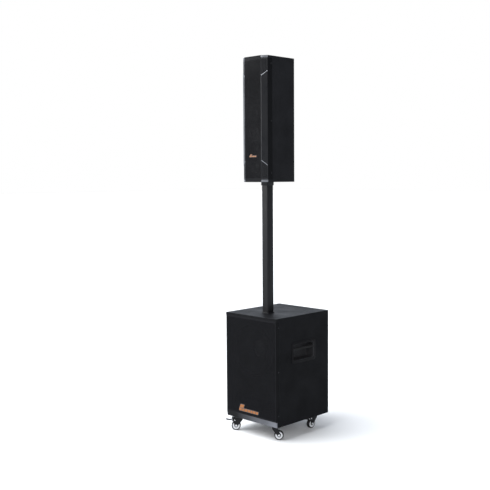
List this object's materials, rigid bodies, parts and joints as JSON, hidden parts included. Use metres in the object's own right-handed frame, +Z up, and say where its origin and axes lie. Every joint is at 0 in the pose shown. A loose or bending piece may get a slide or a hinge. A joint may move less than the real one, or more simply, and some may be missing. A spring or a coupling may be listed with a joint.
{
  "type": "column pa system",
  "caption": "Wheeled subwoofer with a square pole that carries a slim satellite loudspeaker column, both behind folded perforated grilles.",
  "frame": {"origin": "on the floor under the middle of the subwoofer", "axes": "+Z up, the grilles face -Y, +X is the right-hand side seen from in front"},
  "size_m": [0.3798, 0.4363, 1.998],
  "materials": {
    "cabinet_paint": "plywood under textured black polyurea paint",
    "bare_board": "board painted flat black",
    "grille_steel": "perforated steel, satin black powder coat",
    "kick_paint": "smooth satin black paint",
    "badge_enamel": "orange enamel with a pale rim",
    "moulded_black": "fine-grained moulded black plastic",
    "basket_steel": "stamped steel, black paint",
    "magnet_ferrite": "dull ferrite",
    "cone_paper": "black pulp paper",
    "amp_paint": "fine-textured black powder coat",
    "heatsink_alloy": "black anodised extrusion",
    "circuit_board": "green solder mask",
    "knob_rubber": "soft-touch black",
    "socket_plastic": "satin moulded black",
    "caster_steel": "black-coated pressed steel",
    "caster_wheel": "pale grey nylon core with a black tread",
    "pole_paint": "satin black powder coat",
    "trim_satin": "smooth satin black"
  },
  "bodies": {
    "subwoofer": {"sub_cabinet": "cabinet_paint", "sub_baffle": "bare_board", "sub_grille": "grille_steel", "sub_kick_strip": "kick_paint", "sub_badge": "badge_enamel", "port_duct": "moulded_black", "woofer_frame": "basket_steel", "woofer_magnet": "magnet_ferrite", "handle_right": "moulded_black", "handle_left": "moulded_black", "amp_plate": "amp_paint", "amp_heatsink": "heatsink_alloy", "amp_board": "circuit_board", "input_socket_1": "socket_plastic", "input_socket_2": "socket_plastic", "speaker_outlet": "socket_plastic", "mains_inlet": "socket_plastic", "caster_plate_front_left": "caster_steel", "caster_plate_front_right": "caster_steel", "caster_plate_rear_left": "caster_steel", "caster_plate_rear_right": "caster_steel", "pole_socket": "pole_paint"},
    "woofer_cone": {"woofer_cone": "cone_paper"},
    "mic_knob": {"mic_level_knob": "knob_rubber"},
    "line_knob": {"line_level_knob": "knob_rubber"},
    "master_knob": {"master_level_knob": "knob_rubber"},
    "rocker": {"power_rocker": "knob_rubber"},
    "swivel_front_left": {"caster_fork_front_left": "caster_steel"},
    "wheel_front_left": {"caster_wheel_front_left": "caster_wheel"},
    "pedal_front_left": {"brake_pedal_front_left": "caster_steel"},
    "swivel_front_right": {"caster_fork_front_right": "caster_steel"},
    "wheel_front_right": {"caster_wheel_front_right": "caster_wheel"},
    "swivel_rear_left": {"caster_fork_rear_left": "caster_steel"},
    "wheel_rear_left": {"caster_wheel_rear_left": "caster_wheel"},
    "swivel_rear_right": {"caster_fork_rear_right": "caster_steel"},
    "wheel_rear_right": {"caster_wheel_rear_right": "caster_wheel"},
    "pedal_rear_right": {"brake_pedal_rear_right": "caster_steel"},
    "pole": {"pole_tube": "pole_paint"},
    "satellite": {"sat_pole_socket": "pole_paint", "sat_cabinet": "cabinet_paint", "sat_baffle": "bare_board", "sat_grille": "grille_steel", "sat_trim_left": "trim_satin", "sat_trim_right": "trim_satin", "sat_badge": "badge_enamel", "mid_frame_1": "basket_steel", "mid_frame_2": "basket_steel", "mid_frame_3": "basket_steel", "mid_frame_4": "basket_steel", "sat_horn": "moulded_black", "sat_tweeter": "magnet_ferrite", "sat_jack_plate": "amp_paint", "sat_crossover": "circuit_board"},
    "lock_knob": {"pole_lock_knob": "knob_rubber"},
    "mid_cone_1": {"mid_cone_1": "cone_paper"},
    "mid_cone_2": {"mid_cone_2": "cone_paper"},
    "mid_cone_3": {"mid_cone_3": "cone_paper"},
    "mid_cone_4": {"mid_cone_4": "cone_paper"}
  },
  "joints": [
    {"name": "swivel_front_left", "type": "hinge", "parent": "subwoofer", "child": "swivel_front_left", "pos_m": [-0.13, -0.165, 0.07], "axis": [0, 0, 1], "continuous": true},
    {"name": "swivel_front_right", "type": "hinge", "parent": "subwoofer", "child": "swivel_front_right", "pos_m": [0.13, -0.165, 0.07], "axis": [0, 0, 1], "continuous": true},
    {"name": "swivel_rear_left", "type": "hinge", "parent": "subwoofer", "child": "swivel_rear_left", "pos_m": [-0.13, 0.147, 0.07], "axis": [0, 0, 1], "continuous": true},
    {"name": "swivel_rear_right", "type": "hinge", "parent": "subwoofer", "child": "swivel_rear_right", "pos_m": [0.13, 0.147, 0.07], "axis": [0, 0, 1], "continuous": true},
    {"name": "roll_front_left", "type": "hinge", "parent": "swivel_front_left", "child": "wheel_front_left", "pos_m": [-0.14583, -0.18028, 0.025], "axis": [0.6947, -0.7193, 0], "continuous": true},
    {"name": "roll_front_right", "type": "hinge", "parent": "swivel_front_right", "child": "wheel_front_right", "pos_m": [0.14583, -0.14972, 0.025], "axis": [-0.6947, 0.7193, 0], "continuous": true},
    {"name": "roll_rear_left", "type": "hinge", "parent": "swivel_rear_left", "child": "wheel_rear_left", "pos_m": [-0.12248, 0.12633, 0.025], "axis": [0.9397, 0.342, 0], "continuous": true},
    {"name": "roll_rear_right", "type": "hinge", "parent": "swivel_rear_right", "child": "wheel_rear_right", "pos_m": [0.12847, 0.12505, 0.025], "axis": [0.9976, -0.0698, 0], "continuous": true},
    {"name": "brake_front_left", "type": "hinge", "parent": "swivel_front_left", "child": "pedal_front_left", "pos_m": [-0.15086, -0.18515, 0.056], "axis": [0.6947, -0.7193, 0], "range_deg": [0, 11]},
    {"name": "brake_rear_right", "type": "hinge", "parent": "swivel_rear_right", "child": "pedal_rear_right", "pos_m": [0.12798, 0.11807, 0.056], "axis": [0.9976, -0.0698, 0], "range_deg": [0, 11]},
    {"name": "mic_level", "type": "hinge", "parent": "subwoofer", "child": "mic_knob", "pos_m": [-0.058, 0.198, 0.322], "axis": [0, 1, 0], "range_deg": [-150, 150]},
    {"name": "line_level", "type": "hinge", "parent": "subwoofer", "child": "line_knob", "pos_m": [0, 0.198, 0.322], "axis": [0, 1, 0], "range_deg": [-150, 150]},
    {"name": "master_level", "type": "hinge", "parent": "subwoofer", "child": "master_knob", "pos_m": [0.058, 0.198, 0.322], "axis": [0, 1, 0], "range_deg": [-150, 150]},
    {"name": "power", "type": "hinge", "parent": "subwoofer", "child": "rocker", "pos_m": [-0.044, 0.198, 0.215], "axis": [1, 0, 0], "range_deg": [-18, 0]},
    {"name": "woofer_excursion", "type": "slide", "parent": "subwoofer", "child": "woofer_cone", "axis": [0, -1, 0], "range_m": [-0.006, 0.006], "stiffness_N_per_m": 3000},
    {"name": "pole_lift", "type": "slide", "parent": "subwoofer", "child": "pole", "axis": [0, 0, 1], "range_m": [0, 0.079]},
    {"name": "satellite_lift", "type": "slide", "parent": "pole", "child": "satellite", "axis": [0, 0, 1], "range_m": [0, 0.078]},
    {"name": "pole_lock", "type": "hinge", "parent": "satellite", "child": "lock_knob", "pos_m": [0, -0.0502, 1.341], "axis": [0, 1, 0], "range_deg": [0, 720]},
    {"name": "mid_excursion_1", "type": "slide", "parent": "satellite", "child": "mid_cone_1", "axis": [0, -1, 0], "range_m": [-0.0025, 0.0025], "stiffness_N_per_m": 1500},
    {"name": "mid_excursion_2", "type": "slide", "parent": "satellite", "child": "mid_cone_2", "axis": [0, -1, 0], "range_m": [-0.0025, 0.0025], "stiffness_N_per_m": 1500},
    {"name": "mid_excursion_3", "type": "slide", "parent": "satellite", "child": "mid_cone_3", "axis": [0, -1, 0], "range_m": [-0.0025, 0.0025], "stiffness_N_per_m": 1500},
    {"name": "mid_excursion_4", "type": "slide", "parent": "satellite", "child": "mid_cone_4", "axis": [0, -1, 0], "range_m": [-0.0025, 0.0025], "stiffness_N_per_m": 1500}
  ]
}
